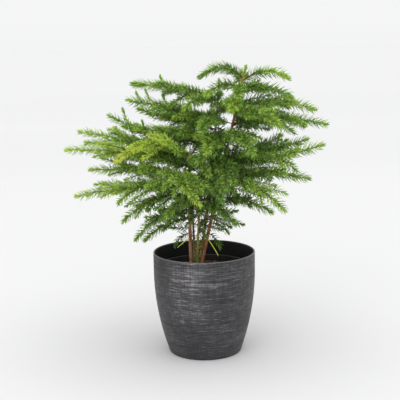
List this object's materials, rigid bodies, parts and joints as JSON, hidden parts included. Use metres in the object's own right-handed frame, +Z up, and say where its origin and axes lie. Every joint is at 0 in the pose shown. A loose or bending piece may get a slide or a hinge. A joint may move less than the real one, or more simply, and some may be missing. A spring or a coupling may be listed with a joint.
{
  "type": "potted norfolk pine",
  "caption": "Young Norfolk pine with several slender trunks and arching needle fronds, growing in a black nursery pot set inside a round tapered charcoal decorative pot.",
  "frame": {"origin": "centre of the decorative pot's flat underside, on the surface it stands on", "axes": "+Z up along the pot's axis, +X to the right and +Y to the back, seen from the front"},
  "size_m": [0.4112, 0.3065, 0.4642],
  "materials": {
    "outer_pot_charcoal": "semi-gloss dark charcoal with fine horizontal brushed streaks of silver grey",
    "nursery_pot_black": "plain black moulded plastic",
    "potting_soil": "dry loose peat and bark mix",
    "trunk_bark": "rough scaly red-brown bark",
    "frond_needles": "soft fresh green needles, slightly waxy",
    "dry_shoot": "dry yellowed shoot"
  },
  "bodies": {
    "root": {"outer_pot": "outer_pot_charcoal", "nursery_pot": "nursery_pot_black", "potting_soil": "potting_soil", "right_trunk": "trunk_bark", "middle_trunk": "trunk_bark", "left_trunk": "trunk_bark", "centre_trunk": "trunk_bark", "back_trunk": "trunk_bark", "right_frond_01": "frond_needles", "right_frond_02": "frond_needles", "right_frond_03": "frond_needles", "right_frond_04": "frond_needles", "right_frond_05": "frond_needles", "right_frond_06": "frond_needles", "right_frond_07": "frond_needles", "right_frond_08": "frond_needles", "right_frond_09": "frond_needles", "right_frond_10": "frond_needles", "right_frond_11": "frond_needles", "right_frond_12": "frond_needles", "right_frond_13": "frond_needles", "right_frond_14": "frond_needles", "right_frond_15": "frond_needles", "right_frond_16": "frond_needles", "right_frond_17": "frond_needles", "right_frond_18": "frond_needles", "right_frond_19": "frond_needles", "right_frond_20": "frond_needles", "right_frond_21": "frond_needles", "right_frond_22": "frond_needles", "right_frond_23": "frond_needles", "middle_frond_01": "frond_needles", "middle_frond_02": "frond_needles", "middle_frond_03": "frond_needles", "middle_frond_04": "frond_needles", "middle_frond_05": "frond_needles", "middle_frond_06": "frond_needles", "middle_frond_07": "frond_needles", "middle_frond_08": "frond_needles", "middle_frond_09": "frond_needles", "middle_frond_10": "frond_needles", "middle_frond_11": "frond_needles", "left_frond_01": "frond_needles", "left_frond_02": "frond_needles", "left_frond_03": "frond_needles", "left_frond_04": "frond_needles", "left_frond_05": "frond_needles", "left_frond_06": "frond_needles", "left_frond_07": "frond_needles", "left_frond_08": "frond_needles", "left_frond_09": "frond_needles", "left_frond_10": "frond_needles", "left_frond_11": "frond_needles", "centre_frond_01": "frond_needles", "centre_frond_02": "frond_needles", "centre_frond_03": "frond_needles", "back_frond_01": "frond_needles", "back_frond_02": "frond_needles", "left_dry_shoot": "dry_shoot", "right_dry_shoot": "dry_shoot"}
  },
  "joints": []
}
